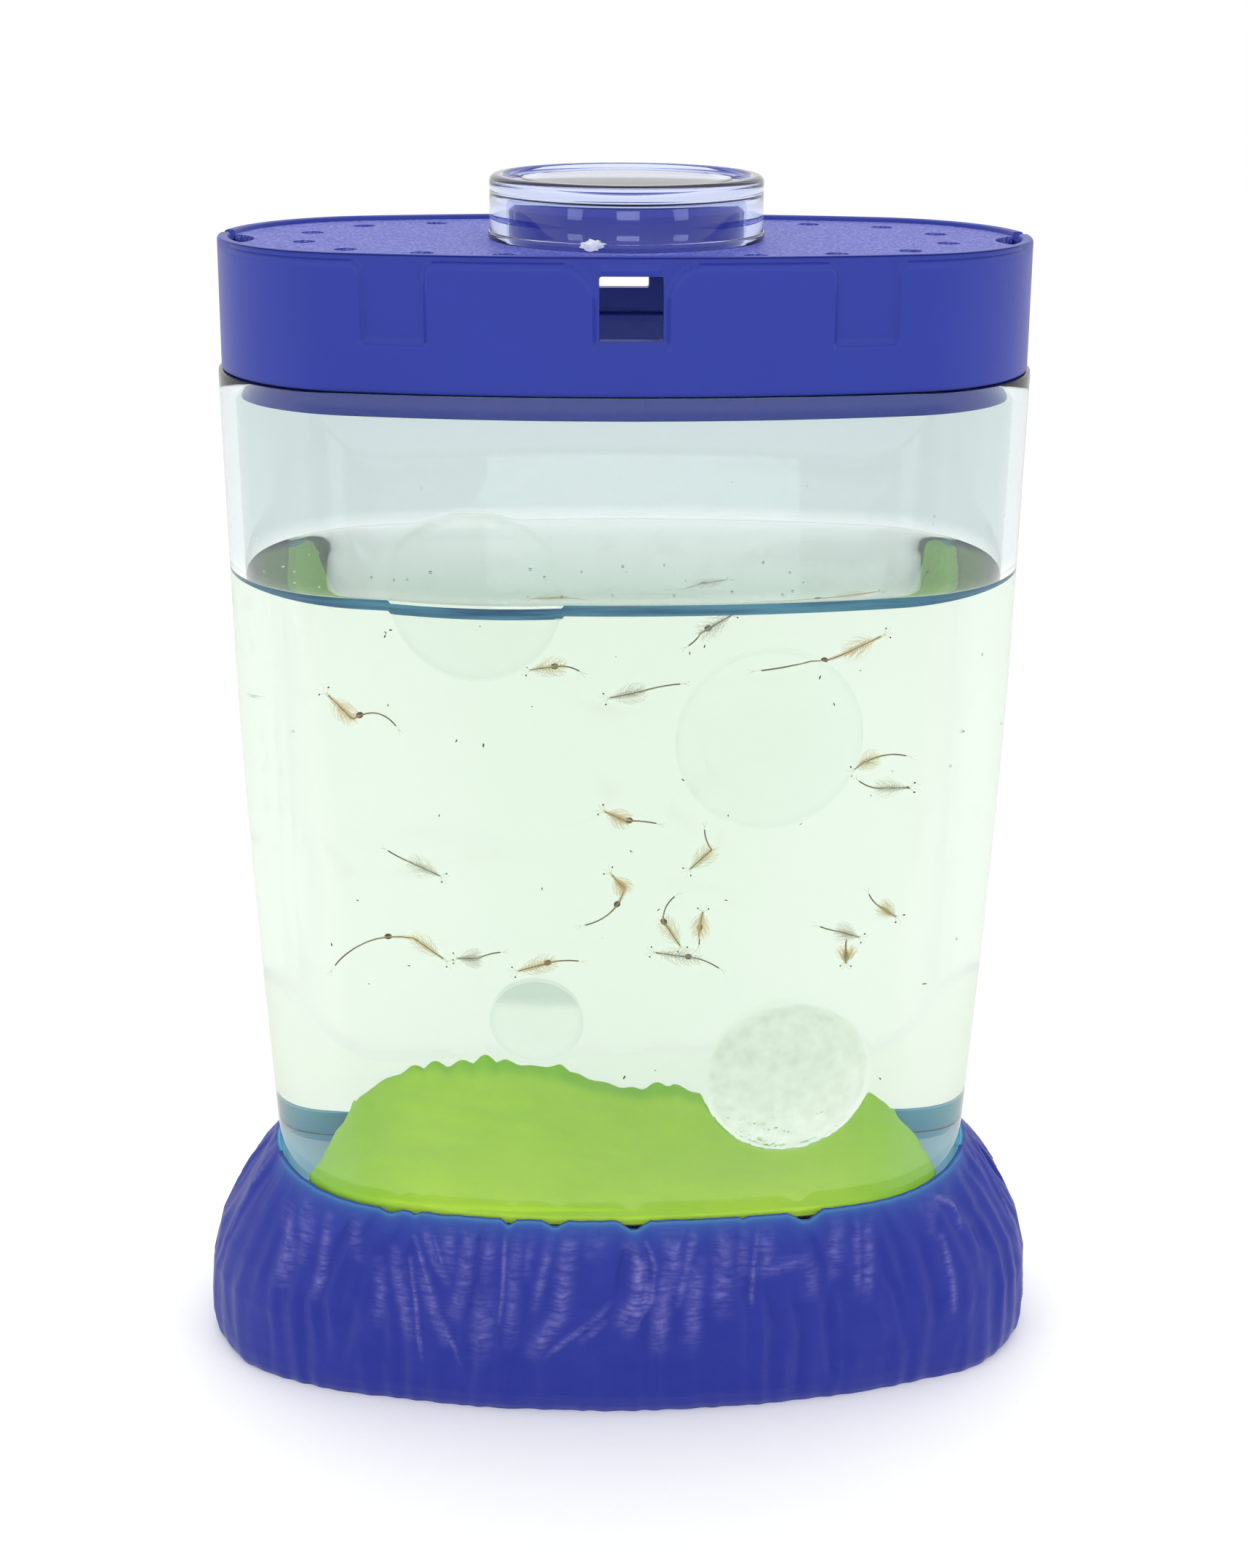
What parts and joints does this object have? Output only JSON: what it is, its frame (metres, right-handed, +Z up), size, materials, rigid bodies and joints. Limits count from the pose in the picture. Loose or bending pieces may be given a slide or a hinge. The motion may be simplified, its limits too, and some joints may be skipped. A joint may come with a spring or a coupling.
{
  "type": "brine shrimp tank",
  "caption": "Small clear oval tank for brine shrimp, with magnifier bubbles, a vented blue lid with a magnifier cap, and a blue rock-textured foot.",
  "frame": {"origin": "middle of the footprint, on the surface that the foot stands on", "axes": "+X to the right across the two rounded ends, +Y to the back, +Z up; the front wall with the magnifier bubbles faces -Y"},
  "size_m": [0.123, 0.055, 0.1673],
  "materials": {
    "clear_tub": "gloss",
    "blue_gloss": "gloss",
    "blue_sparkle": "satin",
    "clear_cap": "gloss",
    "blue_rock": "satin",
    "green_ground": "matte",
    "water": "gloss",
    "shrimp": "satin"
  },
  "bodies": {
    "base": {"base": "blue_rock"},
    "tank": {"tank": "clear_tub", "seabed": "green_ground", "water": "water", "shrimp_01": "shrimp", "shrimp_02": "shrimp", "shrimp_03": "shrimp", "shrimp_04": "shrimp", "shrimp_05": "shrimp", "shrimp_06": "shrimp", "shrimp_07": "shrimp", "shrimp_08": "shrimp", "shrimp_09": "shrimp", "shrimp_10": "shrimp", "shrimp_11": "shrimp", "shrimp_12": "shrimp", "shrimp_13": "shrimp", "shrimp_14": "shrimp", "shrimp_15": "shrimp", "shrimp_16": "shrimp", "shrimp_17": "shrimp", "shrimp_18": "shrimp", "shrimp_19": "shrimp", "shrimp_20": "shrimp"},
    "lid": {"lid_ring": "blue_gloss", "lid_plate": "blue_sparkle"},
    "cap": {"magnifier_cap": "clear_cap"}
  },
  "joints": [
    {"name": "tank_lift", "type": "slide", "parent": "base", "child": "tank", "axis": [0, 0, 1], "range_m": [0, 0.04]},
    {"name": "lid_lift", "type": "slide", "parent": "tank", "child": "lid", "axis": [0, 0, 1], "range_m": [0, 0.03]},
    {"name": "cap_lift", "type": "slide", "parent": "lid", "child": "cap", "axis": [0, 0, 1], "range_m": [0, 0.015]}
  ]
}
